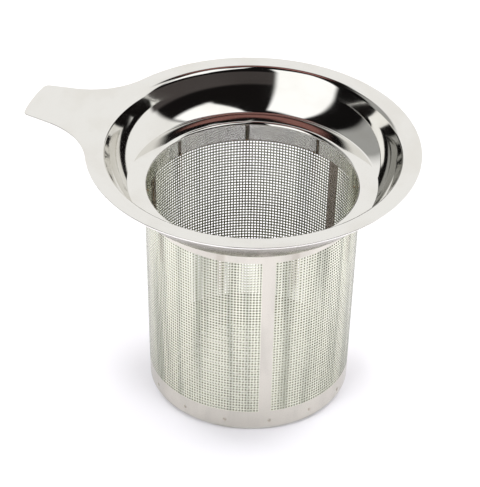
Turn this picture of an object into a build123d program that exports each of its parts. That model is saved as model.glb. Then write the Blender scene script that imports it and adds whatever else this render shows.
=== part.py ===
from build123d import *
import os
from math import atan, atan2, cos, degrees, hypot, radians, sin, sqrt

# Brew-in-mug tea strainer, all stainless sheet metal.
#
# A pressed rim (flange, handle tab, bowl, ledge and neck in one sheet) carries a tapered tube of
# etched mesh. A drawn pan closes the foot of the tube. Welds hold the three together.
#
# Millimetres. +Z up, origin at the centre of the underside of the pan, +X along the handle tab.

# --- Overall sizes -----------------------------------------------------------------------------
HEIGHT = 72.5  # underside of the pan to the top of the flange
TUBE_TOP_R = 28.45  # outside of the tube at its top edge
TUBE_FOOT_R = 26.4  # outside of the tube, carried on down to the base plane

# --- Rim: one pressed sheet, built outward from the tube -----------------------------------------
RIM_SHEET = 0.5
NECK_DEPTH = 5.25  # top of the ledge down to the lower edge of the neck
NECK_ROLL_R = 0.9  # roll from the ledge into the neck, on the top face
LEDGE_WIDTH = 4.08  # from the neck's roll out to the foot of the bowl wall
LEDGE_CORNER_R = 0.7
BOWL_SPREAD = 7.7  # from the foot of the bowl wall out to the flat flange
BOWL_DEPTH = 10.4  # top of the flange down to the top of the ledge
BOWL_LEAN = 22.5  # degrees from upright at the top of the bowl wall
BOWL_BRIM = 3.12  # straight part of the bowl wall, below the roll
MOUTH_ROLL_R = 1.9  # roll from the flange into the bowl, on the top face
FLANGE_WIDTH = 3.6

# --- Handle tab: part of the rim sheet ---------------------------------------------------------
TAB_LENGTH = 18.6  # from the edge of the flange to the middle of the tip
TAB_TIP_HALF_WIDTH = 7.5
TAB_TIP_CROWN = 0.6  # how far the middle of the tip stands out past its corners
TAB_FLARE = 10.0  # degrees that each side opens towards the flange
TAB_BLEND_R = 20.5  # hollow blend from each side into the flange
TAB_CORNER_R = 1.8

# --- Mesh wall: one etched sheet rolled into a tapered tube -------------------------------------
MESH_SHEET = 0.2
TUBE_TOP_GAP = 0.1  # from the top edge of the tube up to where the neck's roll ends
TUBE_FOOT_Z = 1.4  # lower edge of the tube, above the rounded corner of the pan
SEAM_WIDTH = 0.6  # gap between the two edges of the rolled sheet, filled by the weld bead
SEAM_PROUD = 0.06

# --- Base pan: drawn from thinner sheet, nested in the foot of the tube --------------------------
PAN_SHEET = 0.4
PAN_CORNER_R = 1.4  # outside
PAN_HEIGHT = 5.8

# --- Fits and welds ----------------------------------------------------------------------------
NECK_CLEARANCE = 0.03  # outside of the neck to the inside of the tube
PAN_CLEARANCE = 0.03  # outside of the pan wall to the inside of the tube
TACK_COUNT = 9
TACK_START = 14.2  # degrees from the handle
TACK_R = 0.5
TACK_DROP = 0.12  # middle of each bead below the lower edge of the neck
SPOT_COUNT = 14
SPOT_START = 20.0  # degrees from the handle
SPOT_R = 0.5
SPOT_Z = 3.4
SPOT_PROUD = 0.03
TOOL_OVERSHOOT = 2.0  # how far a cutting solid runs past what it cuts

# --- Heights, slope and radii that follow from the sizes above ------------------------------------
LEDGE_Z = HEIGHT - BOWL_DEPTH
NECK_FOOT_Z = LEDGE_Z - NECK_DEPTH
TUBE_TOP_Z = LEDGE_Z - NECK_ROLL_R - TUBE_TOP_GAP
TUBE_SLOPE = (TUBE_TOP_R - TUBE_FOOT_R) / TUBE_TOP_Z
TAPER = atan(TUBE_SLOPE)


def wall_r(z, depth=0.0):
    """Radius at height z of the tapered surface that lies depth inside the outside of the tube."""
    return TUBE_FOOT_R + TUBE_SLOPE * z - depth / cos(TAPER)


NECK_TOP_Z = LEDGE_Z - NECK_ROLL_R
NECK_FACE_DEPTH = MESH_SHEET + NECK_CLEARANCE + RIM_SHEET
LEDGE_INNER_R = wall_r(NECK_TOP_Z, NECK_FACE_DEPTH) + NECK_ROLL_R / cos(TAPER)
LEDGE_R = LEDGE_INNER_R + LEDGE_WIDTH
BOWL_MOUTH_R = LEDGE_R + BOWL_SPREAD
FLANGE_R = BOWL_MOUTH_R + FLANGE_WIDTH
TAB_REACH = FLANGE_R + TAB_LENGTH


def on_arc(centre, radius, angle):
    """Point of a circle in the section plane, angle in radians."""
    return (centre[0] + radius * cos(angle), centre[1] + radius * sin(angle))


def arc(centre, radius, start, end):
    """Arc of a circle in the section plane between two angles in radians."""
    middle = on_arc(centre, radius, (start + end) / 2)
    return Edge.make_three_point_arc(
        on_arc(centre, radius, start), middle, on_arc(centre, radius, end)
    )


def spun(section):
    """Solid of a section drawn with x as radius and y as height, turned once round Z."""
    return revolve(Rotation(90, 0, 0) * section, axis=Axis.Z, revolution_arc=360)


def sheet_section(edges, thickness):
    """Thin section: the edges are one face of the sheet, and the sheet lies on their left."""
    closed = Wire(edges).offset_2d(thickness, side=Side.LEFT, closed=True)
    return Face(closed)


def tube_shell(low_z, high_z, outer_depth, inner_depth):
    """Tapered tube between two surfaces that follow the wall."""
    points = [
        (wall_r(low_z, inner_depth), low_z),
        (wall_r(low_z, outer_depth), low_z),
        (wall_r(high_z, outer_depth), high_z),
        (wall_r(high_z, inner_depth), high_z),
    ]
    return spun(make_face(Polyline(*points, close=True)))


def round_the_axis(solid, count, start):
    """Copies of a solid, evenly spaced round the Z axis."""
    return [Rotation(0, 0, start + 360 * i / count) * solid for i in range(count)]


def rim_profile():
    """Top face of the rim sheet from the flange edge to just past the foot of the neck."""
    lean = radians(BOWL_LEAN)
    mouth_centre = (BOWL_MOUTH_R, HEIGHT - MOUTH_ROLL_R)
    roll_end = on_arc(mouth_centre, MOUTH_ROLL_R, radians(180) - lean)

    brim_end = (roll_end[0] - BOWL_BRIM * sin(lean), roll_end[1] - BOWL_BRIM * cos(lean))

    # One arc joins the straight brim to the ledge: its end slope follows from its chord.
    across = brim_end[0] - LEDGE_R
    down = brim_end[1] - LEDGE_Z
    end_lean = 2 * atan2(across, down) - lean
    bowl_r = hypot(across, down) / (2 * sin((end_lean - lean) / 2))
    bowl_centre = (brim_end[0] - bowl_r * cos(lean), brim_end[1] + bowl_r * sin(lean))

    # A small arc, tangent inside the bowl arc and to the ledge, rounds the corner between them.
    corner_y = LEDGE_Z + LEDGE_CORNER_R
    reach = bowl_r - LEDGE_CORNER_R
    corner_x = bowl_centre[0] + sqrt(reach**2 - (corner_y - bowl_centre[1]) ** 2)
    corner = (corner_x, corner_y)
    meet = atan2(corner_y - bowl_centre[1], corner_x - bowl_centre[0])

    neck_centre = (LEDGE_INNER_R, NECK_TOP_Z)
    neck_top = on_arc(neck_centre, NECK_ROLL_R, radians(180) - TAPER)
    cut_z = NECK_FOOT_Z - TOOL_OVERSHOOT / 2
    neck_foot = (wall_r(cut_z, NECK_FACE_DEPTH), cut_z)

    return [
        Edge.make_line((FLANGE_R, HEIGHT), (BOWL_MOUTH_R, HEIGHT)),
        arc(mouth_centre, MOUTH_ROLL_R, radians(90), radians(180) - lean),
        Edge.make_line(roll_end, brim_end),
        arc(bowl_centre, bowl_r, -lean, meet),
        arc(corner, LEDGE_CORNER_R, meet, radians(-90)),
        Edge.make_line((corner_x, LEDGE_Z), (LEDGE_INNER_R, LEDGE_Z)),
        arc(neck_centre, NECK_ROLL_R, radians(90), radians(180) - TAPER),
        Edge.make_line(neck_top, neck_foot),
    ]


def handle_tab():
    """Flat tab in the plane of the flange, from halfway across the flange to the tip."""
    flare = radians(TAB_FLARE)
    corner = Vector(TAB_REACH - TAB_TIP_CROWN, TAB_TIP_HALF_WIDTH)
    outward = Vector(sin(flare), cos(flare))
    along = Vector(cos(flare), -sin(flare))
    offset = outward.dot(corner) + TAB_BLEND_R
    slide = sqrt((FLANGE_R + TAB_BLEND_R) ** 2 - offset**2)
    blend = outward * offset + along * slide
    on_side = blend - outward * TAB_BLEND_R
    on_flange = blend * (FLANGE_R / (FLANGE_R + TAB_BLEND_R))
    on_blend = blend + ((on_side + on_flange) * 0.5 - blend).normalized() * TAB_BLEND_R

    root_r = (FLANGE_R + BOWL_MOUTH_R) / 2
    root = on_flange * (root_r / FLANGE_R)

    def mirrored(point):
        return Vector(point.X, -point.Y)

    edges = [
        Edge.make_line(root, on_flange),
        Edge.make_three_point_arc(on_flange, on_blend, on_side),
        Edge.make_line(on_side, corner),
        Edge.make_three_point_arc(corner, Vector(TAB_REACH, 0), mirrored(corner)),
        Edge.make_line(mirrored(corner), mirrored(on_side)),
        Edge.make_three_point_arc(mirrored(on_side), mirrored(on_blend), mirrored(on_flange)),
        Edge.make_line(mirrored(on_flange), mirrored(root)),
        Edge.make_three_point_arc(mirrored(root), Vector(root_r, 0), root),
    ]
    outline = Face(Wire(edges))
    tip_corners = outline.vertices().sort_by(Axis.X)[-2:]
    outline = outline.fillet_2d(TAB_CORNER_R, tip_corners)
    return extrude(Pos(0, 0, HEIGHT - RIM_SHEET) * outline, RIM_SHEET, dir=(0, 0, 1))


def rim_dish():
    """Flange, handle tab, bowl, ledge and neck, pressed from one sheet, the neck trimmed level."""
    pressed = spun(sheet_section(rim_profile(), RIM_SHEET))
    trim = Pos(0, 0, NECK_FOOT_Z - TOOL_OVERSHOOT / 2) * Cylinder(LEDGE_R, TOOL_OVERSHOOT)
    return pressed - trim + handle_tab()


def seam_gap():
    """Upright slot at the handle side, between the edges of the rolled mesh sheet."""
    depth = abs(TUBE_TOP_R - TUBE_FOOT_R) + 2 * TOOL_OVERSHOOT
    length = TUBE_TOP_Z - TUBE_FOOT_Z + 2 * TOOL_OVERSHOOT
    middle_z = (TUBE_TOP_Z + TUBE_FOOT_Z) / 2
    return Pos(wall_r(middle_z), 0, middle_z) * Box(depth, SEAM_WIDTH, length)


def spot_nuggets():
    """Spot welds through the tube and the pan wall, a hair proud of both."""
    inner_depth = MESH_SHEET + PAN_CLEARANCE + PAN_SHEET + SPOT_PROUD
    bite = tube_shell(SPOT_Z - 2 * SPOT_R, SPOT_Z + 2 * SPOT_R, -SPOT_PROUD, inner_depth)
    return [stud & bite for stud in spot_studs()]


def spot_studs():
    """Radial pins that mark where the spot welds pass through the sheets."""
    middle_r = wall_r(SPOT_Z, MESH_SHEET)
    pin = Cylinder(SPOT_R, 2 * TOOL_OVERSHOOT, rotation=(0, 90, 0))
    return round_the_axis(Pos(middle_r, 0, SPOT_Z) * pin, SPOT_COUNT, SPOT_START)


def mesh_wall():
    """Etched sheet rolled into a tapered tube, open at the seam and at each spot weld."""
    tube = tube_shell(TUBE_FOOT_Z, TUBE_TOP_Z, 0, MESH_SHEET)
    return tube - seam_gap() - spot_studs()


def seam_weld():
    """Bead that fills the gap between the edges of the mesh sheet, a little proud outside."""
    return tube_shell(TUBE_FOOT_Z, TUBE_TOP_Z, -SEAM_PROUD, MESH_SHEET) & seam_gap()


def base_pan():
    """Shallow drawn pan with a rounded corner, its wall inside the foot of the tube."""
    depth = MESH_SHEET + PAN_CLEARANCE
    top = (wall_r(PAN_HEIGHT, depth), PAN_HEIGHT)
    corner_x = wall_r(PAN_CORNER_R, depth) - PAN_CORNER_R / cos(TAPER)
    corner = (corner_x, PAN_CORNER_R)
    edges = [
        Edge.make_line((0, 0), (corner_x, 0)),
        arc(corner, PAN_CORNER_R, radians(-90), -TAPER),
        Edge.make_line(on_arc(corner, PAN_CORNER_R, -TAPER), top),
    ]
    return spun(sheet_section(edges, PAN_SHEET)) - spot_studs()


def neck_tacks():
    """Small tack beads in the corner under the neck's lower edge, against the tube."""
    corner = Pos(wall_r(NECK_FOOT_Z, MESH_SHEET + RIM_SHEET / 2), 0, NECK_FOOT_Z - TACK_DROP)
    inner_depth = MESH_SHEET + RIM_SHEET + 2 * TACK_R
    below = tube_shell(NECK_FOOT_Z - TOOL_OVERSHOOT, NECK_FOOT_Z, MESH_SHEET, inner_depth)
    bead = corner * Sphere(TACK_R) & below
    return round_the_axis(bead, TACK_COUNT, TACK_START)


NODES = {
    "rim_dish": [rim_dish()],
    "mesh_wall": [mesh_wall()],
    "seam_weld": [seam_weld()],
    "base_pan": [base_pan()],
    "neck_tack_welds": neck_tacks(),
    "foot_spot_welds": spot_nuggets(),
}

os.makedirs("parts", exist_ok=True)
for name, shapes in NODES.items():
    solids = [solid for shape in shapes for solid in shape.solids()]
    export_step(solids[0] if len(solids) == 1 else Compound(solids), f"parts/{name}.step")
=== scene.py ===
import logging
from dataclasses import dataclass, replace
from enum import Enum
from math import atan, atan2, cos, hypot, pi, radians, sin, sqrt

import bmesh
import bpy
import numpy as np
from bpy.types import Material, Node, NodeSocket, NodeTree, Object
from mathutils import Matrix, Vector


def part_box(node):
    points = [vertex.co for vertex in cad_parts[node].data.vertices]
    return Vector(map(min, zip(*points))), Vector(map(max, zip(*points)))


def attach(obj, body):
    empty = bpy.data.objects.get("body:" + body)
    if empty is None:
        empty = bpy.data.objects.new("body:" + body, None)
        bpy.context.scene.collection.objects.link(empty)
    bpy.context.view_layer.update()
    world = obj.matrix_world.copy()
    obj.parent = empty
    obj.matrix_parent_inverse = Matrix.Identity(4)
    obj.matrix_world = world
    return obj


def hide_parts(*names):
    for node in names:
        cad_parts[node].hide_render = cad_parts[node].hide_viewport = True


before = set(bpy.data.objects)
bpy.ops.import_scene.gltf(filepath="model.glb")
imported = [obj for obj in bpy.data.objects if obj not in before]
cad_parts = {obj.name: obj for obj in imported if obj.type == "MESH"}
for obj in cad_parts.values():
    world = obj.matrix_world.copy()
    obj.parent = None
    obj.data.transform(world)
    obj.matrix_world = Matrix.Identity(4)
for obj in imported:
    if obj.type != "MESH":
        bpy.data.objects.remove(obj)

LOG = logging.getLogger("tea_strainer")
MM = 0.001
FIT = 0.03 * MM  # clearance between each two sheets that nest
SHARP_EDGE = radians(35)
ROW_ROOT = "root"
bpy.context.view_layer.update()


class Slot(Enum):
    """Material slots of the record."""

    RIM = "rim_steel"
    MESH = "mesh_steel"
    PAN = "pan_steel"


# --- Section geometry ---


@dataclass(frozen=True)
class Sweep:
    """A run of points in a plane, with the facing of each point.

    In a section the plane is (radius, height), and in an outline it is (x, y).
    """

    points: np.ndarray
    normals: np.ndarray

    def __add__(self, other: "Sweep") -> "Sweep":
        """Joins two runs end to end."""
        points = np.vstack([self.points, other.points])
        return Sweep(points, np.vstack([self.normals, other.normals]))

    def back(self, depth: float) -> "Sweep":
        """The other face of a sheet of this depth, walked the other way.

        Args:
            depth: Thickness of the sheet in metres.

        Returns:
            The far face, in reverse order and facing away from this one.
        """
        return Sweep((self.points - depth * self.normals)[::-1], -self.normals[::-1])


def line(start: tuple, end: tuple, normal: tuple, parts: int) -> Sweep:
    """Straight run between two section points, without its last point.

    Args:
        start: First point.
        end: Last point, which the next run starts with.
        normal: Facing of the run.
        parts: Number of pieces that the run is cut into.

    Returns:
        The run.
    """
    steps = np.linspace(0, 1, parts, endpoint=False)[:, None]
    points = np.array(start) * (1 - steps) + np.array(end) * steps
    facing = np.array(normal) / np.linalg.norm(normal)
    return Sweep(points, np.repeat(facing[None], parts, axis=0))


def arc(centre: tuple, radius: float, start: float, end: float, side: int, parts: int) -> Sweep:
    """Circular run between two angles, without its last point.

    Args:
        centre: Centre of the circle.
        radius: Its radius.
        start: First angle in radians.
        end: Last angle in radians.
        side: 1 if the run faces away from the centre, -1 if it faces the centre.
        parts: Number of pieces that the run is cut into.

    Returns:
        The run.
    """
    angles = np.linspace(start, end, parts, endpoint=False)
    rays = np.stack([np.cos(angles), np.sin(angles)], axis=1)
    return Sweep(np.array(centre) + radius * rays, side * rays)


def last(point: tuple, normal: tuple) -> Sweep:
    """The single point that ends a chain of runs."""
    facing = np.array(normal) / np.linalg.norm(normal)
    return Sweep(np.array([point]), facing[None])


# --- Mesh helpers ---


def make_object(name: str, vertices: np.ndarray, faces: list) -> Object:
    """Adds a smooth shaded mesh object to the scene.

    Args:
        name: Name of the piece.
        vertices: Points in metres, one row each.
        faces: Lists of vertex numbers.

    Returns:
        The new object.
    """
    mesh = bpy.data.meshes.new(name)
    mesh.from_pydata(vertices.tolist(), [], faces)
    mesh.polygons.foreach_set("use_smooth", [True] * len(mesh.polygons))
    mesh.update()
    piece = bpy.data.objects.new(name, mesh)
    bpy.context.scene.collection.objects.link(piece)
    return piece


def grid_faces(rows: int, columns: int, wrap_rows: bool, wrap_columns: bool) -> np.ndarray:
    """Quads of a grid of vertices stored row by row.

    Args:
        rows: Number of rows of vertices.
        columns: Number of vertices in a row.
        wrap_rows: Whether the last row joins the first.
        wrap_columns: Whether the last column joins the first.

    Returns:
        One row of four vertex numbers for each quad.
    """
    i = np.arange(rows if wrap_rows else rows - 1)[:, None]
    j = np.arange(columns if wrap_columns else columns - 1)[None, :]
    i2, j2 = (i + 1) % rows, (j + 1) % columns
    quads = [i * columns + j, i * columns + j2, i2 * columns + j2, i2 * columns + j]
    return np.stack([np.broadcast_to(q, (i.size, j.size)).ravel() for q in quads], axis=1)


def thicken(piece: Object, depth: float, inner_finish: int = 0) -> None:
    """Turns an open sheet into a closed one with its cut edges sharp.

    The sheet grows away from the way its faces point.

    Args:
        piece: Sheet whose mesh is changed.
        depth: Thickness in metres.
        inner_finish: Number of the finish that the new side wears.
    """
    faces = len(piece.data.polygons)
    solidify = piece.modifiers.new("sheet", "SOLIDIFY")
    solidify.thickness = depth
    solidify.offset = -1
    solidify.use_even_offset = True
    solidify.use_quality_normals = True
    graph = bpy.context.evaluated_depsgraph_get()
    solid = bpy.data.meshes.new_from_object(piece.evaluated_get(graph))
    piece.modifiers.clear()
    piece.data = solid
    solid.name = piece.name
    # The new side's faces follow the old side's, in the same order.
    numbers = np.zeros(len(solid.polygons), np.int32)
    numbers[faces : 2 * faces] = inner_finish
    solid.polygons.foreach_set("material_index", numbers)
    solid.set_sharp_from_angle(angle=SHARP_EDGE)


def set_down(piece: Object, slot: Slot, *nodes: str) -> Object:
    """Rides a piece on the one body and hides the CAD nodes that it stands for.

    Args:
        piece: The finished piece.
        slot: Slot of the record. Not used.
        nodes: CAD nodes that it replaces.

    Returns:
        The same piece.
    """
    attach(piece, ROW_ROOT)
    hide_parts(*nodes)
    LOG.info("%s: %d faces, stands for %s", piece.name, len(piece.data.polygons), ", ".join(nodes))
    return piece


# --- Sub-assemblies ---


@dataclass
class TaperedTube:
    """The tapered surface that the mesh wall, the neck and the pan share, read from the CAD nodes."""

    sheet: float = 0.2 * MM

    def __post_init__(self) -> None:
        """Reads the tube's ends from the CAD node."""
        low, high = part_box("mesh_wall")
        _, pan_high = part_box("base_pan")
        self.foot_z, self.top_z = low.z, high.z
        self.top_r = -low.x
        self.pan_top = pan_high.z
        self.slope = (self.top_r - self.sheet - FIT - pan_high.x) / (self.top_z - self.pan_top)
        self.lean = atan(self.slope)

    def radius(self, z: float, depth: float = 0.0) -> float:
        """Radius of the surface at a height, some depth inside the outside of the tube."""
        return self.top_r - self.slope * (self.top_z - z) - depth / cos(self.lean)


@dataclass
class RimSheet:
    """Flange, handle tab, bowl, ledge and neck: one pressed sheet, polished."""

    tube: TaperedTube
    sheet: float = 0.5 * MM
    edge_round: float = 0.14 * MM
    neck_roll: float = 0.9 * MM
    ledge_width: float = 4.08 * MM
    ledge_corner: float = 0.7 * MM
    bowl_depth: float = 10.4 * MM
    bowl_lean: float = radians(22.5)
    bowl_brim: float = 3.12 * MM
    flange_width: float = 3.6 * MM
    mouth_roll: float = 1.9 * MM
    tip_half_width: float = 7.5 * MM
    tip_crown: float = 0.6 * MM
    tip_corner: float = 1.8 * MM
    flare: float = radians(10)
    blend: float = 20.5 * MM
    circle_step: float = radians(1.2)
    outline_step: float = 0.8 * MM
    side_parts: int = 8
    edge_rings: int = 4

    def __post_init__(self) -> None:
        """Reads the rim's outer sizes from the CAD node."""
        low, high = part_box("rim_dish")
        self.top = high.z
        self.flange_r = -low.x
        self.reach = high.x
        self.neck_foot = low.z
        self.mouth_r = self.flange_r - self.flange_width
        self.ledge_z = self.top - self.bowl_depth
        self.neck_top = self.ledge_z - self.neck_roll
        self.face_depth = self.tube.sheet + FIT + self.sheet
        roll = self.neck_roll / cos(self.tube.lean)
        self.ledge_inner = self.tube.radius(self.neck_top, self.face_depth) + roll
        self.ledge_r = self.ledge_inner + self.ledge_width

    def bowl(self) -> tuple:
        """Straight brim, and the one arc of the bowl wall below it.

        Returns:
            The two ends of the brim, the arc's radius and centre, and the centre and meeting
            angle of the ledge corner.
        """
        lean, roll = self.bowl_lean, self.mouth_roll
        brim = (self.mouth_r - roll * cos(lean), self.top - roll + roll * sin(lean))
        start = (brim[0] - self.bowl_brim * sin(lean), brim[1] - self.bowl_brim * cos(lean))
        across, down = start[0] - self.ledge_r, start[1] - self.ledge_z
        end_lean = 2 * atan2(across, down) - lean
        radius = hypot(across, down) / (2 * sin((end_lean - lean) / 2))
        centre = (start[0] - radius * cos(lean), start[1] + radius * sin(lean))
        corner_z = self.ledge_z + self.ledge_corner
        reach = radius - self.ledge_corner
        corner_r = centre[0] + sqrt(reach**2 - (corner_z - centre[1]) ** 2)
        meet = atan2(corner_z - centre[1], corner_r - centre[0])
        return brim, start, radius, centre, (corner_r, corner_z), meet

    def dish(self, fine: float) -> Sweep:
        """Top face from the flat flange down to the foot of the neck.

        Args:
            fine: Multiplier on the number of pieces of each run.

        Returns:
            The run, with its last point.
        """
        brim, start, radius, centre, corner, meet = self.bowl()
        quarter, half = pi / 2, pi
        lean, slant = self.bowl_lean, self.tube.lean
        inward = (-cos(slant), sin(slant))
        neck = (self.ledge_inner, self.neck_top)
        top = (neck[0] + self.neck_roll * inward[0], neck[1] + self.neck_roll * inward[1])
        foot = (self.tube.radius(self.neck_foot, self.face_depth), self.neck_foot)
        mouth = (self.mouth_r, self.top - self.mouth_roll)
        facing = (-cos(lean), sin(lean))
        parts = [max(2, round(n * fine)) for n in (20, 5, 36, 8, 5, 12, 5)]
        return (
            arc(mouth, self.mouth_roll, quarter, half - lean, 1, parts[0])
            + line(brim, start, facing, parts[1])
            + arc(centre, radius, -lean, meet, -1, parts[2])
            + arc(corner, self.ledge_corner, meet, -quarter, -1, parts[3])
            + line((corner[0], self.ledge_z), (neck[0], self.ledge_z), (0, 1), parts[4])
            + arc(neck, self.neck_roll, quarter, half - slant, 1, parts[5])
            + line(top, foot, inward, parts[6])
            + last(foot, inward)
        )

    def half_outline(self) -> Sweep:
        """Edge of the flange and tab in plan, from the middle of the tip to the far side."""
        corner = np.array([self.reach - self.tip_crown, self.tip_half_width])
        outward = np.array([sin(self.flare), cos(self.flare)])
        along = np.array([cos(self.flare), -sin(self.flare)])
        offset = outward @ corner + self.blend
        slide = sqrt((self.flange_r + self.blend) ** 2 - offset**2)
        hub = outward * offset + along * slide
        on_side = hub - outward * self.blend

        # The tip is one shallow arc, and a small arc rounds the corner between it and the side.
        tip_r = (self.tip_crown**2 + self.tip_half_width**2) / (2 * self.tip_crown)
        tip_hub = np.array([self.reach - tip_r, 0.0])
        side_line = outward @ corner - self.tip_corner
        foot = outward * (side_line - outward @ tip_hub)
        reach = sqrt((tip_r - self.tip_corner) ** 2 - foot @ foot)
        round_hub = tip_hub + foot + along * reach
        tip_end = atan2(round_hub[1], round_hub[0] - tip_hub[0])
        side_end = pi / 2 - self.flare
        hub_angle = atan2(hub[1], hub[0])

        def stretch(centre: np.ndarray, radius: float, start: float, end: float, side: int) -> Sweep:
            """One arc of the outline, without its last point."""
            parts = max(4, round(abs(end - start) * radius / self.outline_step))
            return arc(centre, radius, start, end, side, parts)

        side_start = round_hub + self.tip_corner * outward
        circle = np.linspace(hub_angle, pi, round((pi - hub_angle) / self.circle_step) + 1)
        rays = np.stack([np.cos(circle), np.sin(circle)], axis=1)
        return (
            stretch(tip_hub, tip_r, 0, tip_end, 1)
            + stretch(round_hub, self.tip_corner, tip_end, side_end, 1)
            + line(side_start, on_side, outward, self.side_parts)
            + stretch(hub, self.blend, side_end - pi, hub_angle - pi, -1)
            + Sweep(self.flange_r * rays, rays)
        )

    def outline(self) -> Sweep:
        """Whole edge of the flange and tab in plan, anticlockwise."""
        half = self.half_outline()
        flip = np.array([1, -1])
        return half + Sweep(half.points[-2:0:-1] * flip, half.normals[-2:0:-1] * flip)

    def edge(self) -> list:
        """Inset and height of each ring that rounds the cut edge of the flange, with its facing."""
        r, t = self.edge_round, self.sheet
        rings = []
        for angle in np.linspace(pi / 2, 0, self.edge_rings):
            rings.append((r * (1 - cos(angle)), -r * (1 - sin(angle)), angle))
        rings += [(inset, -t - drop, -angle) for inset, drop, angle in rings[::-1]]
        return rings

    def build(self) -> Object:
        """Builds the sheet as one closed mesh with exact normals."""
        outline = self.outline()
        rim, rim_normals = outline.points, outline.normals
        rays = rim / np.linalg.norm(rim, axis=1)[:, None]
        inner = rays * self.mouth_r
        rows, facings = [], []

        def ring(plan: np.ndarray, z: float, sideways: np.ndarray, up: float) -> None:
            """Adds one ring of points with its normals."""
            rows.append(np.column_stack([plan, np.full(len(plan), z)]))
            facings.append(np.column_stack([sideways, np.full(len(plan), up)]))

        def spin(run: Sweep) -> None:
            """Adds the rings of a run turned round the axis."""
            for (radius, z), (out, up) in zip(run.points, run.normals):
                ring(rays * radius, z, rays * out, up)

        flat = np.zeros_like(rays)
        edge = self.edge()
        shares = (0.25, 0.5, 0.75)
        start = rim - rim_normals * edge[0][0]
        for share in shares:
            ring(inner * (1 - share) + start * share, self.top, flat, 1)
        for inset, drop, angle in edge:
            out, up = rim_normals * cos(angle), sin(angle)
            ring(rim - rim_normals * inset, self.top + drop, out, up)
        for share in shares[::-1]:
            ring(inner * (1 - share) + start * share, self.top - self.sheet, flat, -1)
        back_start = len(rows) - len(shares)
        under = self.dish(0.7).back(self.sheet)
        spin(Sweep(under.points[::-1], under.normals[::-1]))
        back_end = len(rows) - 1
        over = self.dish(1.0)
        spin(Sweep(over.points[::-1], over.normals[::-1]))

        vertices, normals = np.vstack(rows), np.vstack(facings)
        faces = grid_faces(len(rows), len(rim), True, True)[:, ::-1]
        piece = make_object("rim_sheet", vertices, faces.tolist())
        row = np.arange(len(faces)) // len(rim)
        is_back = (row >= back_start) & (row < back_end)
        piece.data.polygons.foreach_set("material_index", is_back.astype(np.int32))
        piece.data.normals_split_custom_set_from_vertices(normals.tolist())
        return set_down(piece, Slot.RIM, "rim_dish")


@dataclass
class HoleCell:
    """One etched hole in its cell: a square hole with its corners rounded by the etchant."""

    width: float = 0.53 * MM
    height: float = 0.55 * MM
    corner: float = 0.13 * MM

    def corners(self) -> np.ndarray:
        """Eight corners of the hole about its middle, anticlockwise from the lower right side."""
        x, y, c = self.width / 2, self.height / 2, self.corner
        half = np.array([(x, -y + c), (x, y - c), (x - c, y), (-x + c, y)])
        return np.vstack([half, -half])


def pierced_sheet(lefts: np.ndarray, tops: np.ndarray, cell: HoleCell, keep: np.ndarray) -> tuple:
    """Flat sheet of square cells, each with one hole.

    Args:
        lefts: Column borders along the first direction.
        tops: Row borders along the second direction.
        cell: The hole in each cell.
        keep: Which cells exist, by column and row.

    Returns:
        Points in the plane and faces as lists of point numbers, anticlockwise.
    """
    columns, rows = len(lefts) - 1, len(tops) - 1
    x, y = np.meshgrid(lefts, tops, indexing="ij")
    lattice = np.stack([x, y], axis=-1).reshape(-1, 2)
    i, j = np.nonzero(keep)
    middle = np.stack([(lefts[i] + lefts[i + 1]) / 2, (tops[j] + tops[j + 1]) / 2], axis=1)
    holes = (middle[:, None, :] + cell.corners()[None]).reshape(-1, 2)
    first = len(lattice) + 8 * np.arange(len(i))
    low_left = i * (rows + 1) + j
    # Corners of the cell from the lower right one. Each side of the cell has a quad to the
    # hole's side, and each corner has a triangle to the hole's cut corner.
    ring = (low_left + rows + 1, low_left + rows + 2, low_left + 1, low_left)
    quads, triangles = [], []
    for k in range(4):
        here, there, hole = ring[k], ring[(k + 1) % 4], first + 2 * k
        quads.append((here, there, hole + 1, hole))
        triangles.append((there, first + (2 * k + 2) % 8, hole + 1))
    faces = [f for group in quads + triangles for f in np.stack(group, axis=1).tolist()]
    points = np.vstack([lattice, holes])
    used = np.unique(np.concatenate([np.asarray(f) for f in faces]))
    number = np.full(len(points), -1)
    number[used] = np.arange(len(used))
    return points[used], [number[f].tolist() for f in faces]


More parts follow.
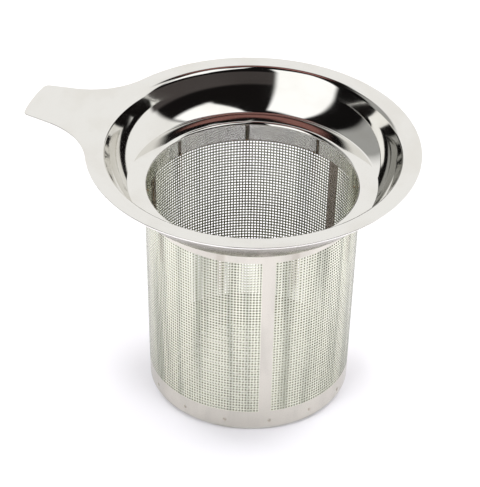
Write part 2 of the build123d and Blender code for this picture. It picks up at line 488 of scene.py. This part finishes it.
@dataclass
class MeshWall:
    """The etched sheet: three panels of holes in a plain border, rolled into the tapered tube."""

    tube: TaperedTube
    cell: HoleCell
    panels: int = 3
    columns: int = 67
    rows: int = 56
    row_pitch: float = 0.8864 * MM
    column_pitch: float = 0.833 * MM
    last_row: float = 7.03 * MM
    seam_width: float = 0.6 * MM
    burr: float = 0.06 * MM
    strip_parts: int = 6

    def __post_init__(self) -> None:
        """Works out the angles of the panels and the heights of their rows."""
        self.low = self.last_row - self.row_pitch / 2
        self.high = self.low + self.rows * self.row_pitch
        self.pitch_angle = self.column_pitch / self.tube.radius(self.high)
        self.turn = 2 * pi / self.panels
        self.strip = self.turn - self.columns * self.pitch_angle

    def rolled(self, along: np.ndarray, z: np.ndarray, inset: np.ndarray | float = 0.0) -> np.ndarray:
        """Points of the flat sheet once it is rolled.

        Args:
            along: Angle round the tube in radians.
            z: Height.
            inset: Depth inside the outside of the tube.

        Returns:
            Points in space.
        """
        radius = np.array([self.tube.radius(h) for h in z]) - inset
        return np.stack([radius * np.cos(along), radius * np.sin(along), z], axis=1)

    def panel(self, index: int) -> Object:
        """Builds one panel of holes.

        Args:
            index: Which panel, from the handle anticlockwise.

        Returns:
            The panel.
        """
        start = self.strip / 2 + index * self.turn
        # Holes are laid out flat at the pitch of the top row, and close up with the taper.
        lefts = np.arange(self.columns + 1) * self.column_pitch
        tops = self.low + np.arange(self.rows + 1) * self.row_pitch
        points, faces = pierced_sheet(lefts, tops, self.cell, np.ones((self.columns, self.rows), bool))
        angle = start + points[:, 0] / self.column_pitch * self.pitch_angle
        piece = make_object(f"mesh_panel_{'abc'[index]}", self.rolled(angle, points[:, 1]), faces)
        thicken(piece, self.tube.sheet, inner_finish=1)
        return set_down(piece, Slot.MESH, "mesh_wall")

    def border(self) -> Object:
        """Builds the plain bands and strips round the panels, open at the seam."""
        half_seam = self.seam_width / 2 / self.tube.radius((self.low + self.high) / 2)
        half_strip, half_parts = self.strip / 2, self.strip_parts // 2
        angles, windows = [], []
        for index in range(self.panels):
            centre = index * self.turn
            edges = np.linspace(centre - half_strip, centre + half_strip, self.strip_parts + 1)
            if index == 0:
                edges = np.linspace(half_seam, half_strip, half_parts + 1)
            window = edges[-1] + np.arange(1, self.columns) * self.pitch_angle
            windows += [False] * (len(edges) - 1) + [True] * self.columns
            angles += list(edges) + list(window)
        whole = 2 * pi
        angles += list(np.linspace(whole - half_strip, whole - half_seam, half_parts + 1))
        windows += [False] * half_parts
        foot, top, burr = self.tube.foot_z, self.tube.top_z, self.burr
        heights = [foot, foot + burr, (foot + self.low) / 2, self.low]
        heights += [self.high, (self.high + top) / 2, top - burr, top]
        insets = [burr, 0, 0, 0, 0, 0, 0, burr]
        along, count = np.array(angles), len(angles)
        points = [self.rolled(along, np.full(count, z), i) for z, i in zip(heights, insets)]
        quads = grid_faces(len(heights), count, False, False).reshape(len(heights) - 1, count - 1, 4)
        solid = np.ones(quads.shape[:2], bool)
        solid[heights.index(self.low), :] = ~np.array(windows)
        piece = make_object("mesh_border", np.vstack(points), quads[solid].tolist())
        thicken(piece, self.tube.sheet, inner_finish=1)
        return set_down(piece, Slot.MESH, "mesh_wall")


@dataclass
class BasePan:
    """Shallow drawn pan that closes the foot of the tube, with a field of drain holes."""

    tube: TaperedTube
    cell: HoleCell
    sheet: float = 0.4 * MM
    corner: float = 1.4 * MM
    pitch: float = 0.86 * MM
    field: float = 22.0 * MM
    turns: int = 180

    def floor_field(self) -> tuple:
        """Flat field of drain holes: cells that lie whole inside the field's circle.

        Returns:
            Points in the plane and faces, anticlockwise.
        """
        count = int(self.field / self.pitch)
        borders = np.arange(-count, count + 1) * self.pitch
        far = np.maximum(np.abs(borders[:-1]), np.abs(borders[1:]))
        keep = np.hypot(far[:, None], far[None, :]) < self.field - self.pitch / 4
        return pierced_sheet(borders, borders, self.cell, keep)

    def build(self) -> Object:
        """Builds the pan from its underside, then gives it its thickness."""
        depth = self.tube.sheet + FIT
        slant = self.tube.lean
        corner_r = self.tube.radius(self.corner, depth) - self.corner / cos(slant)
        top = (self.tube.radius(self.tube.pan_top, depth), self.tube.pan_top)
        centre = (corner_r, self.corner)
        wall = (cos(slant), -sin(slant))
        start = (corner_r + self.corner * wall[0], self.corner + self.corner * wall[1])
        run = (
            line((self.field, 0), (corner_r, 0), (0, -1), 3)
            + arc(centre, self.corner, -pi / 2, -slant, 1, 10)
            + line(start, top, wall, 4)
            + last(top, wall)
        )
        angles = np.linspace(0, 2 * pi, self.turns, endpoint=False)
        rays = np.stack([np.cos(angles), np.sin(angles)], axis=1)
        rings = [np.column_stack([rays * r, np.full(self.turns, z)]) for r, z in run.points]
        points, faces = self.floor_field()
        offset = len(rings) * self.turns
        ring_faces = grid_faces(len(rings), self.turns, False, True)[:, ::-1].tolist()
        field_faces = [[n + offset for n in f[::-1]] for f in faces]
        floor = np.column_stack([points, np.zeros(len(points))])
        piece = make_object("pan_sheet", np.vstack(rings + [floor]), ring_faces + field_faces)
        self.fill_margin(piece, offset, offset + len(points) - len(faces))
        thicken(piece, self.sheet)
        return set_down(piece, Slot.PAN, "base_pan")

    def fill_margin(self, piece: Object, offset: int, hole_start: int) -> None:
        """Fills the plain margin between the field's stepped outline and the first ring.

        Args:
            piece: The pan's underside, still open there.
            offset: Number of the field's first point.
            hole_start: Number of the first point of a hole. Each cell has 8 of them and 8 faces.
        """
        work = bmesh.new()
        work.from_mesh(piece.data)
        open_edges = [e for e in work.edges if len(e.link_faces) == 1]
        rim = [e for e in open_edges if all(v.index < self.turns for v in e.verts)]
        steps = [e for e in open_edges if all(offset <= v.index < hole_start for v in e.verts)]
        bmesh.ops.triangle_fill(work, use_beauty=True, use_dissolve=False, edges=rim + steps)
        bmesh.ops.recalc_face_normals(work, faces=work.faces)
        if sum(f.normal.z for f in work.faces if f.calc_center_median().z < MM / 10) > 0:
            bmesh.ops.reverse_faces(work, faces=work.faces)
        for face in work.faces:
            face.smooth = True
        work.to_mesh(piece.data)
        work.free()


# --- Finishes ---


def linear(code: str) -> tuple:
    """Turns an sRGB hex colour into the linear colour that a shader takes.

    Args:
        code: Six hex digits.

    Returns:
        Red, green, blue and 1.
    """
    shares = [int(code[i : i + 2], 16) / 255 for i in (0, 2, 4)]
    return (*(s / 12.92 if s <= 0.04045 else ((s + 0.055) / 1.055) ** 2.4 for s in shares), 1.0)


def add_node(tree: NodeTree, kind: str, inputs: dict, **settings: object) -> Node:
    """Adds one node with its settings, values and links.

    Args:
        tree: Node tree of a material or of the world.
        kind: Blender's name for the node, without its ShaderNode prefix.
        inputs: Value, or node or socket to link from, for each input by name or number.
        settings: Properties of the node itself.

    Returns:
        The new node.
    """
    node = tree.nodes.new(f"ShaderNode{kind}")
    for name, value in settings.items():
        setattr(node, name, value)
    for key, value in inputs.items():
        if isinstance(value, Node):
            value = value.outputs[0]
        if isinstance(value, NodeSocket):
            tree.links.new(value, node.inputs[key])
        else:
            node.inputs[key].default_value = value
    return node


def empty_material(name: str) -> Material:
    """Makes a material with no nodes.

    Args:
        name: The real material and how it was worked.

    Returns:
        The material.
    """
    material = bpy.data.materials.new(name)
    material.use_nodes = True
    material.node_tree.nodes.clear()
    return material


@dataclass(frozen=True)
class Wrap:
    """Millimetre coordinates wrapped round the strainer: along the turn, radius and height."""

    tree: NodeTree
    nominal_r: float = 28.0

    def split(self) -> tuple:
        """Adds the nodes that split a place into its turn, radius and height.

        Returns:
            Sockets for the angle in radians, and for the radius and height in millimetres.
        """
        place = add_node(self.tree, "TexCoord", {}).outputs["Object"]
        scaled = add_node(self.tree, "VectorMath", {0: place, "Scale": 1 / MM}, operation="SCALE")
        axes = add_node(self.tree, "SeparateXYZ", {0: scaled}).outputs
        plan = add_node(self.tree, "CombineXYZ", {0: axes[0], 1: axes[1]})
        radius = add_node(self.tree, "VectorMath", {0: plan}, operation="LENGTH").outputs["Value"]
        angle = add_node(self.tree, "Math", {0: axes[1], 1: axes[0]}, operation="ARCTAN2").outputs[0]
        return angle, radius, axes[2]

    def grain(self, sizes: tuple) -> Node:
        """Coordinates for a noise whose features have these sizes in millimetres.

        Args:
            sizes: Length round the turn, across the radius and up the height.

        Returns:
            A node whose first output is the coordinate.
        """
        angle, radius, height = self.split()
        # A cosine and a sine keep the pattern whole where the angle jumps from one turn to the next.
        circle = [add_node(self.tree, "Math", {0: angle}, operation=o) for o in ("COSINE", "SINE")]
        reach = self.nominal_r / sizes[0]
        turned = [add_node(self.tree, "Math", {0: c, 1: reach}, operation="MULTIPLY") for c in circle]
        across = add_node(self.tree, "Math", {0: radius, 1: 1 / sizes[1]}, operation="MULTIPLY")
        up = add_node(self.tree, "Math", {0: height, 1: 1 / sizes[2]}, operation="MULTIPLY")
        # Two lengths share the third axis, far apart in frequency, so neither hides the other.
        third = add_node(self.tree, "Math", {0: across, 1: up}, operation="ADD")
        return add_node(self.tree, "CombineXYZ", {0: turned[0], 1: turned[1], 2: third})

    def near(self, value: NodeSocket, low: float, high: float, soft: float) -> Node:
        """Soft mask that is 1 between two values and 0 away from them.

        Args:
            value: What is tested.
            low: Lower end.
            high: Upper end.
            soft: Distance over which the mask fades outside each end.

        Returns:
            The mask's node.
        """
        middle, half = (low + high) / 2, (high - low) / 2
        away = add_node(self.tree, "Math", {0: value, 1: middle}, operation="SUBTRACT")
        distance = add_node(self.tree, "Math", {0: away}, operation="ABSOLUTE")
        ends = {"Value": distance, 1: half + soft, 2: half, 3: 0.0, 4: 1.0}
        return add_node(self.tree, "MapRange", ends, interpolation_type="SMOOTHSTEP")

    def beside(self, count: int, start: float, half_mm: float, soft_mm: float) -> Node:
        """Soft mask over upright strips at even places round the strainer.

        Args:
            count: Number of strips in a turn.
            start: Angle of the first in degrees.
            half_mm: Half the width of a strip.
            soft_mm: Distance over which each side fades.

        Returns:
            The mask's node.
        """
        angle, _, _ = self.split()
        pitch = 2 * pi / count
        shifted = add_node(self.tree, "Math", {0: angle, 1: radians(start)}, operation="SUBTRACT")
        ends = {0: shifted, 1: pitch / 2, 2: -pitch / 2}
        wrapped = add_node(self.tree, "Math", ends, operation="WRAP")
        along = add_node(self.tree, "Math", {0: wrapped, 1: self.nominal_r}, operation="MULTIPLY")
        return self.near(along.outputs[0], -half_mm, half_mm, soft_mm)


@dataclass(frozen=True)
class SheetFinish:
    """AISI 304 stainless sheet: what its surface shows is set by how it was worked.

    The tint is the steel's own reflectance, and the stain and sheen is the thin stain that
    handling and heat leave in patches. Where it is drawn in upright bands it is painted
    reflection. Lengths are in millimetres.
    """

    name: str
    tint: str
    film: str
    film_size: tuple
    film_share: float
    roughness: tuple
    line_size: tuple
    wave_size: tuple
    wave_depth: float
    line_depth: float = 0.001
    # The skin is rough at some 0.02 mm. It is drawn at 0.5 mm or more so that it shows.
    grain_size: float = 0.5
    grain_depth: float = 0.002

    def build(self) -> Material:
        """Makes the material."""
        material = empty_material(self.name)
        tree = material.node_tree
        wrap = Wrap(tree)
        height = self.relief(tree, wrap)
        place = {"Vector": wrap.grain(self.film_size), "Scale": 1.0, "Detail": 3.0}
        patch = add_node(tree, "TexNoise", place)
        # The stain and sheen covers the upper part of the noise, and is dull where it is thick.
        ends = {"Value": patch, 1: 0.42, 2: 0.7, 3: 0.0, 4: self.film_share}
        share = add_node(tree, "MapRange", ends, interpolation_type="SMOOTHSTEP")
        tints = {0: share, 6: linear(self.tint), 7: linear(self.film)}
        colour = add_node(tree, "Mix", tints, data_type="RGBA").outputs[2]
        colour = self.tinted(tree, wrap, colour)
        ends = {"Value": patch, 1: 0.3, 2: 0.7, 3: self.roughness[0], 4: self.roughness[1]}
        rough = add_node(tree, "MapRange", ends)
        metal = {"Base Color": colour, "Metallic": 1.0, "Roughness": rough, "Normal": height}
        add_node(tree, "OutputMaterial", {"Surface": add_node(tree, "BsdfPrincipled", metal)})
        return material

    def relief(self, tree: NodeTree, wrap: Wrap) -> Node:
        """Adds the waves, working lines and grain as one chain of bumps.

        Args:
            tree: Tree of the material.
            wrap: Coordinates round the strainer.

        Returns:
            The last bump node.
        """
        layers = [
            (self.wave_size, self.wave_depth, 1.0),
            (self.line_size, self.line_depth, 3.0),
            ((self.grain_size,) * 3, self.grain_depth, 2.0),
        ]
        bump = None
        for sizes, depth, detail in layers:
            place = {"Vector": wrap.grain(sizes), "Scale": 1.0, "Detail": detail}
            noise = add_node(tree, "TexNoise", place)
            inputs = {"Strength": 1.0, "Distance": depth * MM, "Height": noise}
            if bump:
                inputs["Normal"] = bump
            bump = add_node(tree, "Bump", inputs)
        return bump

    def tinted(self, tree: NodeTree, wrap: Wrap, colour: NodeSocket) -> NodeSocket:
        """Colour with any heat marks laid over it: plain sheet has none."""
        return colour


@dataclass(frozen=True)
class WeldedSheetFinish(SheetFinish):
    """Sheet that carries the straw and brown heat tint of the tack welds along its height."""

    heat: str = "7A6450"
    heat_share: float = 0.22
    heat_low: float = 50.0
    heat_high: float = 57.0
    heat_fade: float = 6.0
    heat_half: float = 0.5
    heat_soft: float = 1.2
    tacks: int = 9
    first_tack: float = 14.2
    # The tube and the neck lie within this radius, and the ledge and bowl carry no marks.
    marked_r: float = 28.6
    marked_fade: float = 0.4

    def tinted(self, tree: NodeTree, wrap: Wrap, colour: NodeSocket) -> NodeSocket:
        """Colour with a heat mark at each tack weld.

        Args:
            tree: Tree of the material.
            wrap: Coordinates round the strainer.
            colour: Colour of the sheet without its marks.

        Returns:
            The marked colour.
        """
        _, radius, height = wrap.split()
        strip = wrap.beside(self.tacks, self.first_tack, self.heat_half, self.heat_soft)
        band = wrap.near(height, self.heat_low, self.heat_high, self.heat_fade)
        share = wrap.near(radius, 0.0, self.marked_r, self.marked_fade)
        for factor in (strip, band, self.heat_share):
            share = add_node(tree, "Math", {0: share, 1: factor}, operation="MULTIPLY")
        mixed = add_node(tree, "Mix", {0: share, 6: colour, 7: linear(self.heat)}, data_type="RGBA")
        return mixed.outputs[2]


@dataclass(frozen=True)
class WeldFinish:
    """Resistance and TIG weld metal: rippled where it froze, with straw to brown heat tint."""

    name: str = "weld_metal_304_heat_tinted"
    bright: str = "B8AFA2"
    straw: str = "8A7048"
    brown: str = "4A3A33"
    tint_size: float = 0.5
    ripple_size: float = 0.35
    ripple_depth: float = 0.03

    def build(self) -> Material:
        """Makes the material."""
        material = empty_material(self.name)
        tree = material.node_tree
        wrap = Wrap(tree)
        place = {"Vector": wrap.grain((self.tint_size,) * 3), "Scale": 1.0, "Detail": 3.0}
        tint = add_node(tree, "TexNoise", place)
        ramp = add_node(tree, "ValToRGB", {"Fac": tint})
        stops = ((0.36, self.brown), (0.52, self.straw), (0.66, self.bright))
        # A ramp starts with stops at 0 and 1. The third one goes in between them.
        elements = ramp.color_ramp.elements
        elements.new(0.5)
        for element, (position, code) in zip(elements, stops):
            element.position = position
            element.color = linear(code)
        place = {"Vector": wrap.grain((self.ripple_size,) * 3), "Scale": 1.0, "Detail": 2.0}
        ripple = add_node(tree, "TexNoise", place)
        relief = {"Strength": 1.0, "Distance": self.ripple_depth * MM, "Height": ripple}
        bump = add_node(tree, "Bump", relief)
        rough = add_node(tree, "MapRange", {"Value": tint, 1: 0.3, 2: 0.7, 3: 0.5, 4: 0.3})
        colour = ramp.outputs[0]
        metal = {"Base Color": colour, "Metallic": 1.0, "Roughness": rough, "Normal": bump}
        add_node(tree, "OutputMaterial", {"Surface": add_node(tree, "BsdfPrincipled", metal)})
        return material


# Pickled after welding, so that only a faint straw edge is left of the tint.
PICKLED_SPOT = WeldFinish(
    name="weld_metal_304_pickled",
    bright="D4D0C8",
    straw="C6C0B4",
    brown="B2AA9E",
)

# Pressed and mirror buffed: sharp reflections, pulled a little out of true by the press, with
# fine buffing lines round the turn.
POLISHED_RIM = WeldedSheetFinish(
    name="stainless_304_pressed_and_buffed",
    tint="E9E8E4",
    film="DEDBD4",
    film_size=(9.0, 9.0, 9.0),
    film_share=0.4,
    roughness=(0.04, 0.08),
    # Buffing lines are some 0.03 mm apart. They are drawn at 0.25 mm so that they show.
    line_size=(12.0, 0.25, 0.25),
    line_depth=0.0006,
    wave_size=(14.0, 9.0, 9.0),
    wave_depth=0.03,
    grain_size=1.2,
    grain_depth=0.0008,
    heat="6E5A4C",
    heat_share=0.12,
    heat_low=56.0,
    heat_high=58.5,
    heat_fade=2.5,
    heat_half=0.05,
    heat_soft=0.3,
)

# Etched through and left satin: soft reflections, with waves in upright bands where the rolls bent it.
# Its stain and sheen is darker in upright bands too: painted reflection.
ETCHED_MESH = WeldedSheetFinish(
    name="stainless_304_photo_etched",
    tint="DDDECE",
    # Painted reflection: darker colour in bands that are narrow round the turn and long up the height.
    film="A7AA9C",
    film_size=(3.2, 90.0, 60.0),
    film_share=0.75,
    roughness=(0.16, 0.28),
    line_size=(0.6, 30.0, 30.0),
    wave_size=(9.0, 90.0, 60.0),
    wave_depth=0.15,
)

# The same sheet where it isn't pierced: the etch resist kept it bright.
PLAIN_BORDER = replace(
    ETCHED_MESH,
    name="stainless_304_unetched_border",
    tint="D1CDC4",
    film="C0BDB5",
    film_size=(6.0, 30.0, 20.0),
    film_share=0.6,
    roughness=(0.16, 0.26),
    grain_depth=0.0006,
)

# The inner face lay against the roll. Its darker tint and stain and sheen are painted shade, for the
# shade inside the tube.
ETCHED_INSIDE = replace(
    ETCHED_MESH,
    name="stainless_304_photo_etched_roll_side",
    tint="B7B9AC",
    film="8C9083",
)
# Painted shade as well: the plain border's inner face is darker than its outer face.
BORDER_INSIDE = replace(
    PLAIN_BORDER,
    name="stainless_304_unetched_roll_side",
    tint="A89E96",
    film="897F78",
)

# Deep drawn from thinner sheet: satin, with draw lines up the wall and round the floor.
DRAWN_PAN = SheetFinish(
    name="stainless_304_deep_drawn",
    tint="D6D4CC",
    film="BEBBB0",
    film_size=(9.0, 9.0, 9.0),
    film_share=0.6,
    roughness=(0.16, 0.26),
    line_size=(0.6, 14.0, 14.0),
    wave_size=(9.0, 20.0, 20.0),
    wave_depth=0.05,
)

# The underside of the rim isn't buffed: it keeps the duller skin of the rolled sheet. Its darker tint
# and stain and sheen are painted shade, for the shade under the rim.
ROLLED_BACK = SheetFinish(
    name="stainless_304_cold_rolled_back",
    tint="AAA69F",
    film="98948D",
    film_size=(7.0, 7.0, 7.0),
    film_share=0.5,
    roughness=(0.2, 0.3),
    line_size=(10.0, 0.4, 0.4),
    wave_size=(12.0, 9.0, 9.0),
    wave_depth=0.03,
    grain_size=0.6,
)


@dataclass
class Dressing:
    """The finishes of the whole strainer and the pieces that wear them."""

    tube_welds: tuple = ("seam_weld", "neck_tack_welds")
    foot_welds: tuple = ("foot_spot_welds",)

    def wear(self, piece: Object, *finishes: SheetFinish) -> None:
        """Gives a new piece its finishes, in the order that its faces number them.

        Args:
            piece: The piece.
            finishes: One finish, or the front and the back of a sheet.
        """
        polygons = piece.data.polygons
        numbers = np.zeros(len(polygons), np.int32)
        polygons.foreach_get("material_index", numbers)
        piece.data.materials.clear()
        for finish in finishes:
            known = bpy.data.materials.get(finish.name)
            piece.data.materials.append(known or finish.build())
        # Clearing the old materials sets every face back to the first.
        polygons.foreach_set("material_index", numbers)

    def weld(self, names: tuple, finish: WeldFinish) -> None:
        """Gives kept CAD nodes of weld metal their finish.

        Args:
            names: Names of the nodes.
            finish: The finish.
        """
        material = finish.build()
        for name in names:
            for holder in bpy.data.objects[name].material_slots:
                holder.material = material

    def dress(self, rim: Object, panels: list[Object], border: Object, pan: Object) -> None:
        """Dresses every piece.

        Args:
            rim: The rim sheet, whose back faces are numbered 1.
            panels: The etched panels.
            border: The plain border round them.
            pan: The base pan.
        """
        self.wear(rim, POLISHED_RIM, ROLLED_BACK)
        for panel in panels:
            self.wear(panel, ETCHED_MESH, ETCHED_INSIDE)
        self.wear(border, PLAIN_BORDER, BORDER_INSIDE)
        self.wear(pan, DRAWN_PAN)
        self.weld(self.tube_welds, WeldFinish())
        self.weld(self.foot_welds, PICKLED_SPOT)


# --- Studio ---


class Tone(Enum):
    """Plain tones of the studio round the strainer."""

    PAPER = "FEFDFC"
    LAMP = "FFFFFF"
    GREY = "A6A6A4"
    BLACK = "121111"
    ROOM = "151313"
    SHADE = "4A4544"
    TIMBER = "946863"


@dataclass(frozen=True)
class Panel:
    """One soft-edged panel of the studio, placed by bearing and height in degrees.

    Bearing 0 is straight behind the strainer, and 90 is to its right. A panel with a slope
    hangs that many degrees higher for each degree of bearing past its middle.
    """

    tone: Tone
    bearing: float
    half_width: float
    low: float
    high: float
    power: float = 1.0
    soft: float = 5.0
    slope: float = 0.0


@dataclass
class Studio:
    """White floor, paper backdrop, soft lamps and the long lens."""

    # The studio's own axes are turned against the strainer's, whose handle points left here.
    turn: float = radians(-159.6)
    pitch: float = radians(35.71)
    roll: float = radians(1.173)
    camera_place: tuple = (-2.96 * MM, -842.8 * MM, 648.1 * MM)
    lens_mm: float = 290.06
    floor_half: float = 3.0
    floor_tone: str = "F4F3F8"
    lamp_size: float = 1.2
    lamp_distance: float = 1.6
    overhead_power: float = 7.2
    side_power: float = 10.4
    side_lift: float = radians(32)
    side_bearings: tuple = (45, 135, 225, 315)
    panels: tuple = (
        Panel(Tone.PAPER, 20, 78, -20, 58, 1.0, 6),
        Panel(Tone.TIMBER, -12, 76, 66, 81, 1.0, 8),
        Panel(Tone.GREY, -71, 17, -20, 48, 1.0, 14),
        Panel(Tone.BLACK, -103, 14, -20, 46, 1.0, 5),
        Panel(Tone.SHADE, 146, 50, -20, 13, 1.0, 6),
        Panel(Tone.LAMP, 121, 20, 39, 75, 1.25, 6),
        Panel(Tone.LAMP, 152, 15, 52, 80, 1.25, 6, 0.9),
        Panel(Tone.LAMP, -141, 23, -20, 62, 1.25, 5),
    )

    def camera(self) -> None:
        """Makes the camera and gives it to the scene."""
        data = bpy.data.cameras.new("camera")
        data.lens = self.lens_mm
        data.clip_start, data.clip_end = 0.01, 20
        camera = bpy.data.objects.new("camera", data)
        spin = Matrix.Rotation(self.turn, 4, "Z")
        tilt = Matrix.Rotation(pi / 2 - self.pitch, 4, "X")
        roll = Matrix.Rotation(self.roll, 4, "Z")
        camera.matrix_world = spin @ Matrix.Translation(Vector(self.camera_place)) @ tilt @ roll
        bpy.context.scene.collection.objects.link(camera)
        bpy.context.scene.camera = camera

    def floor(self) -> None:
        """Makes the plain floor under the strainer."""
        half = self.floor_half
        corners = np.array([(-half, -half, 0), (half, -half, 0), (half, half, 0), (-half, half, 0)])
        floor = make_object("floor", corners, [[0, 1, 2, 3]])
        material = bpy.data.materials.new("matt_paper_floor")
        material.use_nodes = True
        shader = material.node_tree.nodes["Principled BSDF"]
        shader.inputs["Base Color"].default_value = linear(self.floor_tone)
        shader.inputs["Roughness"].default_value = 0.9
        shader.inputs["Specular IOR Level"].default_value = 0.1
        floor.data.materials.append(material)

    def softbox(self, name: str, aim: Vector, power: float) -> None:
        """Hangs one softbox, which lights the scene and isn't mirrored.

        Args:
            name: Name of the lamp.
            aim: Direction from the strainer to the lamp.
            power: Power in watts.
        """
        data = bpy.data.lights.new(name, "AREA")
        data.shape = "DISK"
        data.size = self.lamp_size
        data.energy = power
        lamp = bpy.data.objects.new(name, data)
        facing = aim.to_track_quat("Z", "Y").to_matrix().to_4x4()
        lamp.matrix_world = Matrix.Translation(aim * self.lamp_distance) @ facing
        lamp.visible_glossy = False
        lamp.visible_camera = False
        bpy.context.scene.collection.objects.link(lamp)

    def lamps(self) -> None:
        """Hangs one softbox overhead and four round the sides, which fill each other's shadows."""
        self.softbox("softbox_overhead", Vector((0, 0, 1)), self.overhead_power)
        flat, lift = cos(self.side_lift), sin(self.side_lift)
        for bearing in self.side_bearings:
            angle = radians(bearing) + self.turn
            aim = Vector((flat * cos(angle), flat * sin(angle), lift))
            self.softbox(f"softbox_{bearing}", aim, self.side_power)

    def surroundings(self) -> None:
        """Makes the world that the steel mirrors: a dark room with its panels.

        Where the camera sees the world itself, it is plain white.
        """
        world = bpy.data.worlds.new("studio")
        bpy.context.scene.world = world
        world.use_nodes = True
        tree = world.node_tree
        tree.nodes.clear()
        sight = add_node(tree, "TexCoord", {}).outputs["Generated"]
        spin = {"Vector": sight, "Angle": -self.turn}
        turned = add_node(tree, "VectorRotate", spin, rotation_type="Z_AXIS")
        axes = add_node(tree, "SeparateXYZ", {0: turned}).outputs
        bearing = add_node(tree, "Math", {0: axes[0], 1: axes[1]}, operation="ARCTAN2")
        height = add_node(tree, "Math", {0: axes[2]}, operation="ARCSINE")
        colour = linear(Tone.ROOM.value)
        for panel in self.panels:
            mask = self.mask(tree, panel, bearing, height)
            lit = tuple(panel.power * c for c in linear(panel.tone.value)[:3]) + (1.0,)
            colour = add_node(tree, "Mix", {0: mask, 6: colour, 7: lit}, data_type="RGBA").outputs[2]
        seen = add_node(tree, "LightPath", {}).outputs["Is Camera Ray"]
        white = linear(Tone.LAMP.value)
        shown = add_node(tree, "Mix", {0: seen, 6: colour, 7: white}, data_type="RGBA")
        background = add_node(tree, "Background", {"Color": shown.outputs[2]})
        add_node(tree, "OutputWorld", {"Surface": background})

    def mask(self, tree: NodeTree, panel: Panel, bearing: Node, height: Node) -> Node:
        """Adds the soft mask of one panel.

        Args:
            tree: Tree of the world.
            panel: The panel.
            bearing: Node that gives the bearing in radians.
            height: Node that gives the height in radians.

        Returns:
            The mask's node.
        """
        centre = radians(panel.bearing)
        away = add_node(tree, "Math", {0: bearing, 1: centre}, operation="SUBTRACT")
        wrapped = add_node(tree, "Math", {0: away, 1: pi, 2: -pi}, operation="WRAP")
        middle = radians(panel.low + panel.high) / 2
        sloped = {0: wrapped, 1: panel.slope, 2: middle}
        raised = add_node(tree, "Math", sloped, operation="MULTIPLY_ADD")
        lifted = add_node(tree, "Math", {0: height, 1: raised}, operation="SUBTRACT")
        halves = (radians(panel.half_width), radians(panel.high - panel.low) / 2)
        soft = radians(panel.soft) / 2
        sides = []
        for offset, half in zip((wrapped, lifted), halves):
            distance = add_node(tree, "Math", {0: offset}, operation="ABSOLUTE")
            ends = {"Value": distance, 1: half + soft, 2: half - soft, 3: 0.0, 4: 1.0}
            sides.append(add_node(tree, "MapRange", ends, interpolation_type="SMOOTHSTEP"))
        return add_node(tree, "Math", {0: sides[0], 1: sides[1]}, operation="MULTIPLY")

    def build(self) -> None:
        """Sets up the whole studio."""
        self.camera()
        self.floor()
        self.lamps()
        self.surroundings()
        bpy.context.scene.view_settings.view_transform = "Standard"


def main() -> None:
    """Builds the studio and the strainer."""
    logging.basicConfig(level=logging.INFO, format="%(name)s: %(message)s")
    Studio().build()
    tube = TaperedTube()
    cell = HoleCell()
    wall = MeshWall(tube, cell)
    rim = RimSheet(tube).build()
    panels = [wall.panel(index) for index in range(wall.panels)]
    border = wall.border()
    pan = BasePan(tube, cell).build()
    Dressing().dress(rim, panels, border, pan)


if __name__ == "__main__":
    main()
